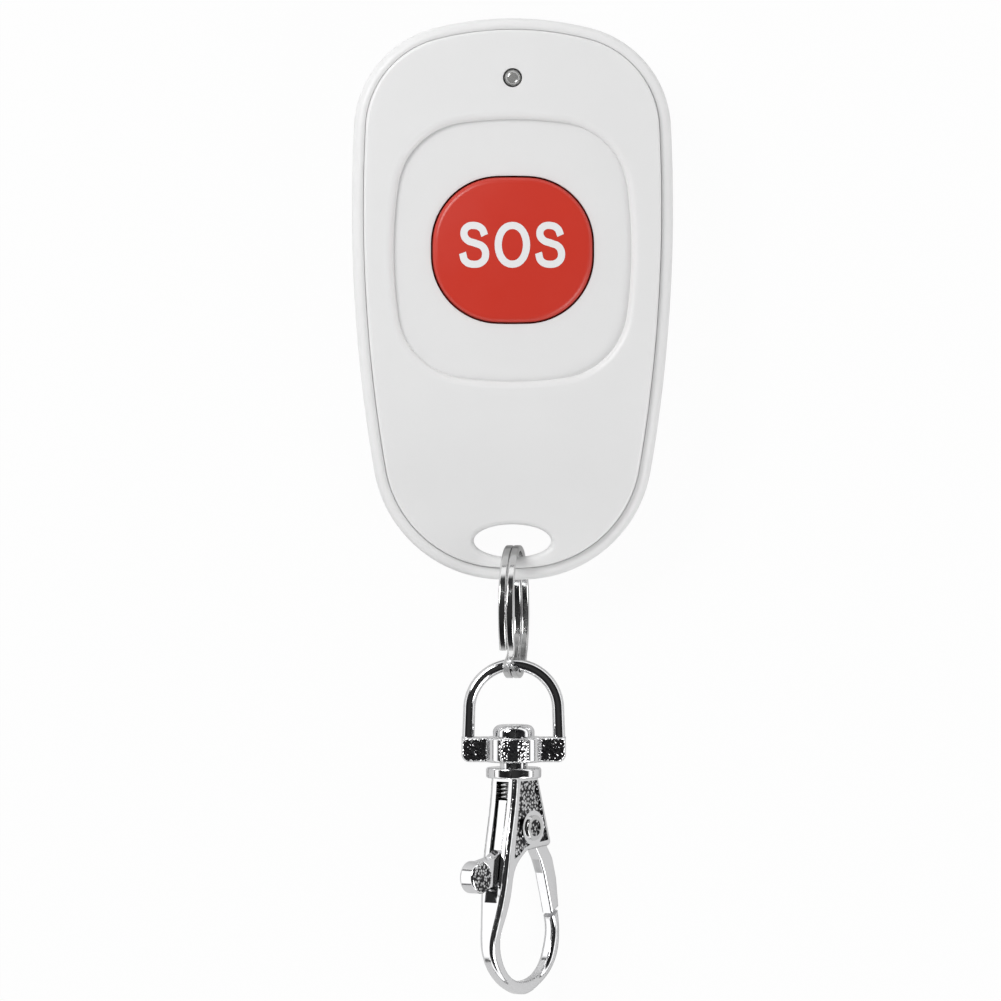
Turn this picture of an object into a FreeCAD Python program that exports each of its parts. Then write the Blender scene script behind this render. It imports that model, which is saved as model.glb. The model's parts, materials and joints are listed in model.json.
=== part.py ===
"""Wireless panic button: a one-button key-fob transmitter on a split ring, swivel bow and trigger snap hook.

Units are millimetres. The fob lies on its back: x is its width, y runs from the keyring end up to the
status light, and z comes out of the face. The back rests on z = 0.
"""
import FreeCAD, Part
import math
import os

V = FreeCAD.Vector
os.makedirs("parts", exist_ok=True)

# Case outline, seen from the front: five tangent arcs a side
case_half_width = 18.4
case_widest_y = 10.6
case_top_y = 32.2
case_bottom_y = -32.2
side_radius = 182.0
top_radius = 36.3
top_corner_radius = 12.1
bottom_radius = 27.6
bottom_corner_inset = 3.5
bottom_corner_radius = case_half_width - bottom_corner_inset

# Case section, seen from the side
face_z = 14.0
face_crown_y = 4.0
face_crown_radius_x = 150.0
face_crown_radius_y = 260.0
face_fall_start_y = -9.0
face_fall_radius = 45.0
face_fall_deg = 18.4
face_run_out_radius = 50.0
face_run_out_deg = 6.0
back_fall_start_y = -9.0
back_fall_radius = 18.0
back_fall_deg = 32.4
back_run_out_radius = 21.0
back_run_out_deg = 3.0

# Shells
wall = 1.8
plate_thickness = 1.6
plate_stands_proud = 0.6
rim_width = 1.3
seam_gap = 0.06
cavity_inset = 2.7
back_edge_radius = 3.0
tongue_edge_radius = 1.15
rim_edge_radius = 1.15
plate_edge_radius = 0.35

# Button dish
dish_y = 5.55
dish_half_width = 13.6
dish_half_height = 15.0
dish_side_radius = 52.8
dish_end_radius = 42.9
dish_corner_radius = 8.4
dish_depth = 0.9
dish_lip_radius = 0.8
tray_wall = 1.3

# Button
button_y = 5.6
button_half_width = 9.15
button_half_height = 8.3
button_side_radius = 55.0
button_end_radius = 55.0
button_corner_radius = 7.6
button_gap = 0.2
button_proud = 0.85
button_crown_radius = 60.0
button_edge_radius = 0.7
button_wall = 1.3
button_flange = 0.9
button_flange_thickness = 0.9
button_travel = 0.3
flange_gap = 0.12
well_depth = 1.9
well_wall = 0.9
well_gap = 0.2
skirt_depth = 1.4
skirt_wall = 1.1
skirt_end_y = -21.5

# Keyring slot in the thin end
slot_y = -27.7
slot_half_width = 4.45
slot_half_height = 1.9
slot_wall = 1.3
slot_edge_radius = 0.7

# Status light
light_y = 25.3
light_diameter = 1.9
light_hole_diameter = 2.2
light_flange_diameter = 3.4
light_flange_thickness = 0.8
light_proud = 0.15
led_size = (2.0, 1.25, 0.9)
led_gap = 0.1

# Circuit board and what it carries
board_z = 5.6
board_thickness = 1.0
board_inset = 3.3
board_end_y = -19.0
switch_size = 6.0
switch_height = 3.5
switch_total_height = 4.3
switch_corner_radius = 0.4
plunger_diameter = 3.5
plunger_flange_diameter = 4.1
plunger_flange_thickness = 0.55
dome_height = 0.35
switch_cover_thickness = 0.3
switch_cup_depth = 1.6
chip_size = (8.6, 3.9, 1.5)
chip_at = (-3.0, -13.6)
chip_lead_pitch = 1.27
can_diameter = 6.4
can_height = 2.6
can_side_room = 11.8
can_at = (case_half_width - can_side_room, -7.9)
coil_diameter = 2.5
coil_length = 4.4
coil_side_room = 7.6
coil_at = (case_half_width - coil_side_room, 4.0)
capacitor_side_room = 9.0
resistor_side_room = 9.6
chip_part_size = (2.0, 1.25, 0.8)
antenna_wire_diameter = 0.9
antenna_height = 2.6
antenna_side_room = 6.8
antenna_half_width = case_half_width - antenna_side_room
antenna_low_y = 2.0
antenna_high_y = 20.5
antenna_bend_radius = 1.2

# Coin cell and its contacts
cell_diameter = 20.0
cell_thickness = 3.2
cell_rim = 1.2
cell_y = 2.5
clip_thickness = 0.25
clip_width = 4.0
clip_side_gap = 0.15
contact_thickness = 0.2
contact_size = (9.0, 3.0)

# Case screw and posts
screw_y = 18.9
screw_diameter = 2.0
screw_head_diameter = 3.8
screw_head_height = 1.3
screw_length = 9.0
screw_boss_diameter = 5.0
screw_recess_depth = 1.7
post_side_room = 7.2
post_at = (case_half_width - post_side_room, -11.5)
post_diameter = 2.8
post_pin_diameter = 1.2
hole_clearance = 0.1

# Split ring
ring_outer_radius = 7.65
ring_wire_radial = 0.7
ring_wire_axial = 0.85
ring_turn_gap = 0.05
ring_bar_gap = 0.7
ring_yaw_deg = -7.2
ring_side_shift = 0.15
ring_end_deg = -35.0
ring_jog_deg = 28.0

# Swivel bow, in the hook's own frame: u across, v along the swivel axis, w through the thickness
bow_half_width = 5.8
bow_foot_half_width = 6.0
bow_arc_v = 7.86
bow_bar_width = 1.38
bow_bar_thickness = 1.5
bow_ring_gap = 0.16
bow_edge_radius = 0.62
crossbar_low_v = 1.8
crossbar_height = 2.86
crossbar_thickness = 2.6
crossbar_corner_radius = 0.9
crossbar_edge_radius = 0.3
barrel_diameter = 6.9
swivel_clearance = 0.08
hook_roll_deg = 53.0
lie_deg = 1.72

# Hook body: outline points in its own frame
hook_outer = [(-2.1, 0.0), (-2.6, -4.0), (-3.45, -8.1), (-4.3, -13.5), (-5.05, -17.2), (-5.3, -19.2),
              (-4.75, -21.2), (-3.05, -23.25), (-1.1, -24.45), (1.4, -25.1), (3.85, -24.3), (6.1, -22.8),
              (7.6, -20.6), (8.0, -18.5), (7.75, -15.7)]
hook_inner = [(6.45, -16.5), (6.72, -18.5), (6.4, -19.9), (5.7, -21.5), (4.1, -22.95), (1.8, -23.55),
              (-0.6, -23.25), (-2.4, -21.9), (-3.35, -20.1), (-3.65, -18.4), (-3.05, -15.9), (-2.45, -13.3),
              (-1.6, -10.1), (-0.85, -9.35), (0.5, -8.4)]
cheek_corner = (5.05, -8.0)
cheek_top_u = 2.45
cheek_corner_radius = 0.5
channel = [(-9.5, -0.4), (0.2, -0.4), (1.1, -1.4), (2.6, -3.0), (4.3, -5.2), (9.0, -8.3),
           (9.0, -10.5), (1.0, -10.5), (0.25, -7.9), (-0.9, -8.35), (-1.45, -9.1), (-2.15, -10.3),
           (-2.75, -12.0), (-3.3, -14.2), (-9.5, -14.2)]
panel = [(-1.1, -0.35), (2.0, -0.35), (4.2, -7.35), (0.75, -7.7), (-0.4, -8.1), (-1.4, -8.9), (-2.3, -9.2)]
taper_start_v = -9.2
taper_end_v = -23.2
nose_start_v = -13.0
nose_u = 1.8
collar_diameter = 6.35
collar_height = 1.15
neck_diameter = 3.2
head_diameter = 4.8
head_height = 1.3
head_edge_radius = 0.85
head_gap = 0.1
shoulder_thickness = 3.7
loop_thickness = 1.7
nose_thickness = 1.5
hook_edge_radius = 0.5
channel_width = 1.74
panel_depth = 0.22
boss_diameter = 4.0
boss_height = 0.12

# Latch lever, its pin and its spring
pivot_u = 1.18
pivot_v = -5.8
rivet_diameter = 1.8
rivet_head_diameter = 2.9
rivet_head_height = 0.3
rivet_dimple_diameter = 1.95
lever_thickness = 1.5
gate = [(2.9, -4.9), (4.9, -7.2), (5.6, -8.3), (6.55, -9.6), (7.3, -12.0), (7.75, -15.3), (6.4, -16.05),
        (5.7, -13.7), (4.95, -11.3), (4.2, -9.7), (3.0, -8.0), (1.18, -5.8)]
arm = [(-0.85, -2.55), (-2.1, -2.55), (-2.6, -5.5), (-3.1, -8.2), (-4.6, -8.9), (-7.25, -9.35), (-8.0, -11.1),
       (-6.6, -12.8), (-4.4, -12.4), (-3.2, -11.6), (-2.5, -10.4), (-1.7, -8.8), (-1.0, -7.75), (0.3, -7.2),
       (1.18, -5.8), (0.3, -4.4), (-0.85, -3.6)]
lever_hub_radius = 1.75
lever_edge_radius = 0.25
knob_u = -7.25
knob_v = -11.1
knob_diameter = 3.7
knob_length = 2.0
knob_edge_radius = 0.3
rivet_clearance = 0.07
spring_u = -1.42
spring_top_v = -0.4
spring_low_v = -2.5
spring_diameter = 1.3
spring_wire = 0.24
spring_turns = 4


def export(shape, name):
    """Write one piece as a STEP file."""
    if len(shape.Solids) == 1:
        shape = shape.Solids[0]
    shape.exportStep("parts/" + name + ".step")
    print(name, len(shape.Solids), shape.isValid(), round(shape.Volume, 3))


def unit(a):
    """A vector of length one."""
    return a.multiply(1.0 / a.Length)


def circles_meet(a, ra, b, rb, up):
    """The meeting point of two circles in the xy plane: the upper one, or the lower where up is -1."""
    gap = b.sub(a)
    along = (ra * ra - rb * rb + gap.Length ** 2) / (2.0 * gap.Length)
    across = math.sqrt(ra * ra - along * along)
    ahead = unit(V(gap))
    middle = a.add(V(ahead).multiply(along))
    side = V(-ahead.y, ahead.x, 0).multiply(across)
    return max((middle.add(side), middle.sub(side)), key=lambda p: p.y * up)


def egg(size, inset, z):
    """A closed wire of tangent arcs, set in from the outline by the inset, at height z."""
    half_width, side_y, r_side, top_y, r_top, r_top_corner, low_y, r_low, r_low_corner = size
    top = V(0, top_y - r_top, 0)
    side = V(half_width - r_side, side_y, 0)
    low = V(0, low_y + r_low, 0)
    upper = circles_meet(top, r_top - r_top_corner, side, r_side - r_top_corner, 1)
    lower = circles_meet(low, r_low - r_low_corner, side, r_side - r_low_corner, -1)

    def on(centre, radius, toward):
        return centre.add(unit(toward.sub(centre)).multiply(radius - inset))

    def between(centre, radius, first, last):
        chord = unit(first.sub(centre)).add(unit(last.sub(centre)))
        return centre.add(unit(chord).multiply(radius - inset))

    p1 = on(top, r_top, upper)
    p2 = on(side, r_side, upper)
    p3 = on(side, r_side, lower)
    p4 = on(low, r_low, lower)
    m12 = between(upper, r_top_corner, p1, p2)
    m23 = between(side, r_side, p2, p3)
    m34 = between(lower, r_low_corner, p3, p4)
    right = [(p1, m12, p2), (p2, m23, p3), (p3, m34, p4)]
    arcs = [(V(-p1.x, p1.y, 0), V(0, top_y - inset, 0), p1)] + right
    arcs.append((p4, V(0, low_y + inset, 0), V(-p4.x, p4.y, 0)))
    for first, middle, last in reversed(right):
        arcs.append((V(-last.x, last.y, 0), V(-middle.x, middle.y, 0), V(-first.x, first.y, 0)))
    lift = V(0, 0, z)
    return Part.Wire([Part.Arc(a.add(lift), b.add(lift), c.add(lift)).toShape() for a, b, c in arcs])


def egg_prism(size, inset, low, high):
    """The outline, set in, as an upright prism."""
    return Part.Face(egg(size, inset, low)).extrude(V(0, 0, high - low))


def cylinder(x, y, low, high, diameter):
    """An upright round bar."""
    return Part.makeCylinder(diameter / 2.0, high - low, V(x, y, low))


def block(x, y, low, size):
    """A box centred on x and y that stands on the height low."""
    return Part.makeBox(size[0], size[1], size[2], V(x - size[0] / 2.0, y - size[1] / 2.0, low))


def arc_to(start, centre, radius, from_deg, to_deg):
    """An arc in the yz plane, with its end point."""
    points = []
    for share in (0.0, 0.5, 1.0):
        angle = math.radians(from_deg + (to_deg - from_deg) * share)
        points.append(V(0, centre.y + radius * math.cos(angle), centre.z + radius * math.sin(angle)))
    return Part.Arc(start, points[1], points[2]).toShape(), points[2]


case_size = (case_half_width, case_widest_y, side_radius, case_top_y, top_radius, top_corner_radius,
             case_bottom_y, bottom_radius, bottom_corner_radius)
dish_size = (dish_half_width, dish_y, dish_side_radius, dish_y + dish_half_height, dish_end_radius,
             dish_corner_radius, dish_y - dish_half_height, dish_end_radius, dish_corner_radius)
button_size = (button_half_width, button_y, button_side_radius, button_y + button_half_height,
               button_end_radius, button_corner_radius, button_y - button_half_height,
               button_end_radius, button_corner_radius)
beyond = 6.0
floor_z = wall


def face_line(drop):
    """Edges of the face's side profile, a parallel curve that lies below the face by the drop."""
    start = V(0, case_top_y + beyond, 0)
    rise = face_crown_radius_y - drop
    centre = V(0, face_crown_y, face_z - face_crown_radius_y)
    start.z = centre.z + math.sqrt(rise ** 2 - (start.y - face_crown_y) ** 2)
    begin = 90.0 - math.degrees(math.asin((start.y - face_crown_y) / rise))
    lean = math.degrees(math.asin((face_crown_y - face_fall_start_y) / face_crown_radius_y))
    first, p = arc_to(start, centre, rise, begin, 90.0 + lean)
    inward = V(0, math.cos(math.radians(90.0 + lean)), math.sin(math.radians(90.0 + lean)))
    centre = p.sub(V(inward).multiply(face_fall_radius - drop))
    second, p = arc_to(p, centre, face_fall_radius - drop, 90.0 + lean, 90.0 + face_fall_deg)
    outward = V(0, math.cos(math.radians(90.0 + face_fall_deg)), math.sin(math.radians(90.0 + face_fall_deg)))
    centre = p.add(V(outward).multiply(face_run_out_radius + drop))
    third, p = arc_to(p, centre, face_run_out_radius + drop, 270.0 + face_fall_deg, 270.0 + face_run_out_deg)
    slope = math.tan(math.radians(face_run_out_deg))
    end_y = case_bottom_y - beyond
    end = V(0, end_y, p.z - slope * (p.y - end_y))
    return [first, second, third, Part.LineSegment(p, end).toShape()], start, end


def back_line(rise):
    """Edges of the back's side profile, a parallel curve that lies above the back by the rise."""
    start = V(0, case_top_y + beyond, rise)
    p = V(0, back_fall_start_y, rise)
    flat = Part.LineSegment(start, p).toShape()
    centre = V(0, back_fall_start_y, back_fall_radius)
    first, p = arc_to(p, centre, back_fall_radius - rise, 270.0, 270.0 - back_fall_deg)
    outward = V(0, math.cos(math.radians(270.0 - back_fall_deg)), math.sin(math.radians(270.0 - back_fall_deg)))
    centre = p.add(V(outward).multiply(back_run_out_radius + rise))
    second, p = arc_to(p, centre, back_run_out_radius + rise, 90.0 - back_fall_deg, 90.0 - back_run_out_deg)
    slope = math.tan(math.radians(back_run_out_deg))
    end_y = case_bottom_y - beyond
    end = V(0, end_y, p.z + slope * (p.y - end_y))
    return [flat, first, second, Part.LineSegment(p, end).toShape()], start, end


def below_face(drop):
    """All the space below the crowned face, lowered by the drop: a profile turned about a far axis."""
    edges, start, end = face_line(drop)
    deep = -30.0
    sides = [Part.LineSegment(end, V(0, end.y, deep)).toShape(),
             Part.LineSegment(V(0, end.y, deep), V(0, start.y, deep)).toShape(),
             Part.LineSegment(V(0, start.y, deep), start).toShape()]
    section = Part.Face(Part.Wire(edges + sides))
    spread = 20.0
    axis = V(0, 0, face_z - face_crown_radius_x)
    section.rotate(axis, V(0, 1, 0), -spread)
    return section.revolve(axis, V(0, 1, 0), 2.0 * spread)


def above_back(rise):
    """All the space above the back's profile, raised by the rise."""
    edges, start, end = back_line(rise)
    high = 30.0
    sides = [Part.LineSegment(end, V(0, end.y, high)).toShape(),
             Part.LineSegment(V(0, end.y, high), V(0, start.y, high)).toShape(),
             Part.LineSegment(V(0, start.y, high), start).toShape()]
    section = Part.Face(Part.Wire(edges + sides))
    section.translate(V(-30.0, 0, 0))
    return section.extrude(V(60.0, 0, 0))


def height_on(edges, y):
    """The height of a side profile at one y."""
    line = Part.LineSegment(V(0, y, -40), V(0, y, 40)).toShape()
    for edge in edges:
        hit = edge.distToShape(line)
        if hit[0] < 1e-6:
            return hit[1][0][0].z
    raise ValueError("the profile doesn't reach y = " + str(y))


face_edges = face_line(0.0)[0]
back_edges = back_line(0.0)[0]
dish_floor_z = height_on(face_edges, button_y) - dish_depth
bar_y = (slot_y - slot_half_height + case_bottom_y) / 2.0
bar_z = (height_on(face_edges, bar_y) + height_on(back_edges, bar_y)) / 2.0
board_top = board_z + board_thickness


def face_height(point, drop):
    """The height of the crowned face, lowered by the drop, above any point of the case."""
    line = height_on(face_line(drop)[0], point.y)
    reach = line - (face_z - face_crown_radius_x)
    return math.sqrt(reach ** 2 - point.x ** 2) + face_z - face_crown_radius_x


def on_face(point, drop):
    """Whether a point lies on the crowned face, lowered by the drop."""
    return abs(point.z - face_height(point, drop)) < 0.02


def on_slot(point):
    """Whether a point lies on the wall of the keyring slot."""
    share = (point.x / slot_half_width) ** 2 + ((point.y - slot_y) / slot_half_height) ** 2
    return abs(share - 1.0) < 0.02


def on_egg(size, point, inset):
    """Whether a point lies on an outline, seen from above."""
    wire = egg(size, inset, 0.0)
    return wire.distToShape(Part.Vertex(V(point.x, point.y, 0.0)))[0] < 0.12


def slot_prism(grow, low, high):
    """The oval keyring slot as an upright prism, grown on every side."""
    oval = Part.Ellipse(V(0, slot_y, low), slot_half_width + grow, slot_half_height + grow)
    return Part.Face(Part.Wire(oval.toShape())).extrude(V(0, 0, high - low))


def edges_where(shape, test):
    """The edges whose middle point passes the test."""
    found = []
    for edge in shape.Edges:
        if edge.Length < 1e-4 or edge.Degenerated:
            continue
        middle = edge.valueAt((edge.FirstParameter + edge.LastParameter) / 2.0)
        if test(edge, middle):
            found.append(edge)
    return found


def back_radius(y):
    """The rounding of the back's edge: full under the body, smaller along the thin end."""
    low_y = back_fall_start_y - back_fall_radius * math.sin(math.radians(back_fall_deg))
    share = (y - low_y) / (back_fall_start_y - low_y)
    share = min(1.0, max(0.0, share))
    share = share * share * (3.0 - 2.0 * share)
    return tongue_edge_radius + (back_edge_radius - tongue_edge_radius) * share


def round_back(shape):
    """Round the back's edge with a radius that follows back_radius."""
    doc = FreeCAD.newDocument("rounding")
    base = doc.addObject("Part::Feature", "base")
    base.Shape = shape
    fillet = doc.addObject("Part::Fillet", "fillet")
    fillet.Base = base
    picks = []
    for number, edge in enumerate(shape.Edges, 1):
        middle = edge.valueAt((edge.FirstParameter + edge.LastParameter) / 2.0)
        on_back = abs(middle.z - height_on(back_edges, middle.y)) < 0.02
        if on_back and abs(edge.Vertexes[0].Z - edge.Vertexes[-1].Z) < 6.0 and not across(edge):
            ends = [v.Y for v in edge.Vertexes]
            picks.append((number, back_radius(ends[0]), back_radius(ends[-1])))
    fillet.Edges = picks
    doc.recompute()
    result = fillet.Shape.copy()
    FreeCAD.closeDocument(doc.Name)
    return result


def across(edge):
    """Whether an edge runs straight across the case, between two faces of the back."""
    ends = [v.Point for v in edge.Vertexes]
    return len(ends) == 2 and abs(ends[0].y - ends[1].y) < 1e-3 and abs(ends[0].x + ends[1].x) < 1e-3 \
        and edge.Curve.TypeId == "Part::GeomLine"


# Rear cover: outer form with its edges rounded
outer = egg_prism(case_size, 0.0, -beyond, 30.0)
shell = outer.common(above_back(0.0)).common(below_face(plate_stands_proud))
shell = round_back(shell.Solids[0])
rim_edges = edges_where(shell, lambda edge, p: on_face(p, plate_stands_proud))
shell = shell.makeFillet(rim_edge_radius, rim_edges)

# Rear cover: the recess that the plate drops into, and the hollow under it
recess = egg_prism(case_size, rim_width, 0.0, 30.0).cut(below_face(plate_thickness))
hollow = egg_prism(case_size, cavity_inset, 0.0, 30.0).common(above_back(wall))
solid_end = Part.makeBox(60.0, 20.0, 40.0, V(-30.0, slot_y + slot_half_height - 0.2 - 20.0, -5.0))
hollow = hollow.cut(solid_end).cut(slot_prism(slot_wall, -5.0, 30.0))
shell = shell.cut(recess).cut(hollow)

# Rear cover: screw boss, board posts and the ribs round the cell
shell = shell.fuse(cylinder(0, screw_y, 0.6, board_z, screw_boss_diameter))
shell = shell.cut(cylinder(0, screw_y, -1.0, 20.0, screw_diameter + 2.0 * hole_clearance))
shell = shell.cut(cylinder(0, screw_y, -1.0, screw_recess_depth, screw_head_diameter + 4.0 * hole_clearance))
for side in (-1, 1):
    x = side * post_at[0]
    shell = shell.fuse(cylinder(x, post_at[1], 0.8, board_z, post_diameter))
    shell = shell.fuse(cylinder(x, post_at[1], board_z - 0.1, board_top + 0.6, post_pin_diameter))
rib_inner = cell_diameter / 2.0 + 0.3
rib = cylinder(0, cell_y, floor_z - 0.4, floor_z + 2.2, 2.0 * (rib_inner + 1.0))
rib = rib.cut(cylinder(0, cell_y, 0.0, 20.0, 2.0 * rib_inner))
rib = rib.cut(block(0, cell_y, 0.0, (40.0, clip_width + 3.0, 20.0)))
rib = rib.cut(block(0, cell_y, 0.0, (12.0, 40.0, 20.0)))
shell = shell.fuse(rib)
shell = shell.cut(slot_prism(0.0, -5.0, 30.0)).removeSplitter()
bar_low_edges = edges_where(shell, lambda edge, p: on_slot(p) and p.z < bar_z - 0.8)
shell = shell.makeFillet(slot_edge_radius, bar_low_edges)
export(shell, "rear_cover")

# Front cover: crowned plate, button dish and inner skirt
under = below_face(plate_thickness)
plate = egg_prism(case_size, rim_width + seam_gap, -5.0, 30.0).common(below_face(0.0)).cut(under)
plate = plate.Solids[0]
plate_edges = edges_where(plate, lambda edge, p: on_face(p, 0.0))
plate = plate.makeFillet(plate_edge_radius, plate_edges)
pan = egg_prism(dish_size, 0.0, 0.0, 30.0).cut(below_face(dish_depth))
tray = egg_prism(dish_size, -tray_wall, 0.0, 30.0).common(under).cut(below_face(plate_thickness + dish_depth))
plate = plate.fuse(tray).cut(pan).removeSplitter()
lip_edges = edges_where(plate, lambda edge, p: on_egg(dish_size, p, 0.0) and on_face(p, 0.0))
plate = plate.makeFillet(dish_lip_radius, lip_edges)

# Front cover: button well, light hole, screw boss, board pads and skirt
well_low = dish_floor_z - plate_thickness - well_depth
well_inset = -(button_gap + button_flange + well_gap)
well = egg_prism(button_size, well_inset - well_wall, well_low, dish_floor_z)
well = well.cut(egg_prism(button_size, well_inset, 0.0, 30.0)).common(below_face(dish_depth + 0.4))
plate = plate.fuse(well).cut(egg_prism(button_size, -button_gap, 0.0, 30.0))
skirt = egg_prism(case_size, cavity_inset + seam_gap, 0.0, 30.0)
skirt = skirt.cut(egg_prism(case_size, cavity_inset + seam_gap + skirt_wall, -1.0, 31.0))
skirt = skirt.common(below_face(plate_thickness - 0.4)).cut(below_face(plate_thickness + skirt_depth))
skirt = skirt.cut(block(0, skirt_end_y - 20.0, -5.0, (60.0, 40.0, 40.0)))
boss = cylinder(0, screw_y, board_top, dish_floor_z, screw_boss_diameter).common(below_face(dish_depth + 0.4))
pads = [cylinder(side * post_at[0], post_at[1], board_top, face_z, post_diameter) for side in (-1, 1)]
pads = [pad.cut(cylinder(pad.CenterOfMass.x, post_at[1], board_z, board_top + 1.0, post_pin_diameter + 0.3))
        for pad in pads]
pads = [pad.common(below_face(dish_depth)) for pad in pads]
plate = plate.fuse([skirt, boss] + pads).removeSplitter()
plate = plate.cut(cylinder(0, light_y, 0.0, 30.0, light_hole_diameter))
plate = plate.cut(cylinder(0, screw_y, board_z, screw_recess_depth + screw_length + 0.4, screw_diameter - 0.3))
plate = plate.cut(slot_prism(0.0, -5.0, 30.0))
rim = edges_where(plate, lambda edge, p: on_slot(p) and on_face(p, 0.0))
plate = plate.makeFillet(slot_edge_radius, rim)
export(plate, "front_cover")

# Button: crowned cap with a hollow back, a retaining flange and a centre stem
cap_top = dish_floor_z + button_proud
flange_reach = [V(button_half_width + button_flange, button_y, 0),
                V(0, button_y + button_half_height + button_flange, 0)]
flange_top = min(face_height(p, plate_thickness + dish_depth) for p in flange_reach) - flange_gap
stem_low = board_top + switch_total_height
cap_dome = Part.makeSphere(button_crown_radius, V(0, button_y, cap_top - button_crown_radius))
cap = egg_prism(button_size, 0.0, flange_top - 0.2, 30.0).common(cap_dome).Solids[0]
cap_edges = edges_where(cap, lambda edge, p: abs((p - cap_dome.CenterOfMass).Length - button_crown_radius) < 0.02)
cap = cap.makeFillet(button_edge_radius, cap_edges)
flange = egg_prism(button_size, -button_flange, flange_top - button_flange_thickness, flange_top)
cap = cap.fuse(flange)
cap = cap.cut(egg_prism(button_size, button_wall, flange_top - 2.0, cap_top - button_wall - 0.4))
stem = cylinder(0, button_y, stem_low, cap_top - button_wall, plunger_diameter)
web_height = cap_top - button_wall - 0.2 - stem_low - 0.4
webs = [block(0, button_y, stem_low + 0.4, (2.0 * button_half_width - button_wall, 0.8, web_height)),
        block(0, button_y, stem_low + 0.4, (0.8, 2.0 * button_half_height - button_wall, web_height))]
cap = cap.fuse([stem] + webs).removeSplitter()
export(cap, "sos_button")

# Light pipe over a small surface-mounted light
light_top = height_on(face_edges, light_y) + light_proud
led_z = board_top + led_size[2]
pipe = cylinder(0, light_y, led_z + led_gap, light_top, light_diameter)
pipe_rim = edges_where(pipe, lambda edge, p: abs(p.z - light_top) < 1e-4)
pipe = pipe.makeFillet(light_diameter / 2.0 - 0.25, pipe_rim)
light_seat = height_on(face_line(plate_thickness)[0], light_y) - 0.15
pipe = pipe.fuse(cylinder(0, light_y, light_seat - light_flange_thickness, light_seat, light_flange_diameter))
export(pipe.removeSplitter(), "led_lens")
led = block(0, light_y, board_top, (led_size[0], led_size[1], led_size[2] * 0.5))
lens = cylinder(0, light_y, board_top, led_z, led_size[1] * 0.8)
export(led.fuse(lens).removeSplitter(), "status_led")

# Circuit board, trimmed at the thin end and drilled for the screw and the posts
board = egg_prism(case_size, board_inset, board_z, board_top)
board = board.cut(Part.makeBox(60.0, 40.0, 20.0, V(-30.0, board_end_y - 40.0, 0.0)))
corners = edges_where(board, lambda edge, p: abs(p.y - board_end_y) < 1e-3 and edge.Length < board_thickness + 0.01)
board = board.makeFillet(1.5, corners)
board = board.cut(cylinder(0, screw_y, 0.0, 20.0, screw_diameter + 0.4))
for side in (-1, 1):
    board = board.cut(cylinder(side * post_at[0], post_at[1], 0.0, 20.0, post_pin_diameter + 2.0 * hole_clearance))
export(board, "circuit_board")

# Tact switch: cup, metal cover, plunger and snap dome
cup_top = board_top + switch_height - switch_cover_thickness
cup = block(0, button_y, board_top, (switch_size, switch_size, cup_top - board_top))
cup_corners = edges_where(cup, lambda edge, p: abs(edge.Length - (cup_top - board_top)) < 1e-4
                          and abs(abs(p.x) - switch_size / 2.0) < 1e-4)
cup = cup.makeFillet(switch_corner_radius, cup_corners)
cup_floor = cup_top - switch_cup_depth
cup = cup.cut(cylinder(0, button_y, cup_floor, 20.0, plunger_flange_diameter + 0.4))
export(cup, "switch_body")
cover = block(0, button_y, cup_top, (switch_size, switch_size, switch_cover_thickness))
for side in (-1, 1):
    ear = block(side * (switch_size / 2.0 + switch_cover_thickness / 2.0), button_y, cup_top - 1.8,
                (switch_cover_thickness, 2.4, 1.8 + switch_cover_thickness))
    cover = cover.fuse(ear)
cover = cover.cut(cylinder(0, button_y, 0.0, 20.0, plunger_diameter + 0.2)).removeSplitter()
export(cover, "switch_cover")
plunger_top = board_top + switch_total_height - 0.02
plunger = cylinder(0, button_y, cup_floor + dome_height, plunger_top, plunger_diameter)
plunger_shoulder = cup_floor + dome_height + plunger_flange_thickness
plunger = plunger.fuse(cylinder(0, button_y, cup_floor + dome_height, plunger_shoulder, plunger_flange_diameter))
plunger = plunger.removeSplitter()
plunger_rim = edges_where(plunger, lambda edge, p: abs(p.z - plunger_top) < 1e-4)
export(plunger.makeFillet(0.25, plunger_rim), "switch_plunger")
dome_radius = (1.9 ** 2 + dome_height ** 2) / (2.0 * dome_height)
dome = Part.makeSphere(dome_radius, V(0, button_y, cup_floor + dome_height - dome_radius))
dome = dome.cut(Part.makeSphere(dome_radius - 0.1, V(0, button_y, cup_floor + dome_height - dome_radius)))
dome = dome.common(cylinder(0, button_y, cup_floor, 20.0, 3.8))
export(dome, "dome_contact")

# Encoder chip with its leads, resonator can, coil and small parts
chip = block(chip_at[0], chip_at[1], board_top + 0.15, (chip_size[0], chip_size[1], chip_size[2] - 0.15))
chip = chip.makeFillet(0.15, chip.Edges)
leads = []
for n in range(7):
    x = chip_at[0] + (n - 3) * chip_lead_pitch
    for side in (-1, 1):
        reach = chip_size[1] / 2.0
        y = chip_at[1] + side * (reach + 0.5)
        leads.append(block(x, y, board_top, (0.42, 1.0, 0.2)))
        leads.append(block(x, chip_at[1] + side * (reach + 0.1), board_top, (0.42, 0.2, 0.85)))
chip = chip.fuse(leads).removeSplitter()
export(chip, "encoder_chip")
can = cylinder(can_at[0], can_at[1], board_top, board_top + can_height, can_diameter)
can = can.makeFillet(0.4, edges_where(can, lambda edge, p: abs(p.z - board_top - can_height) < 1e-4))
can = can.fuse(cylinder(can_at[0], can_at[1], board_top, board_top + 0.35, can_diameter + 1.0)).removeSplitter()
export(can, "resonator_can")
coil = Part.makeCylinder(coil_diameter / 2.0, coil_length,
                         V(coil_at[0], coil_at[1] - coil_length / 2.0, board_top + coil_diameter / 2.0), V(0, 1, 0))
coil_wire = 0.45
turns = int(coil_length / coil_wire) - 1
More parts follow.
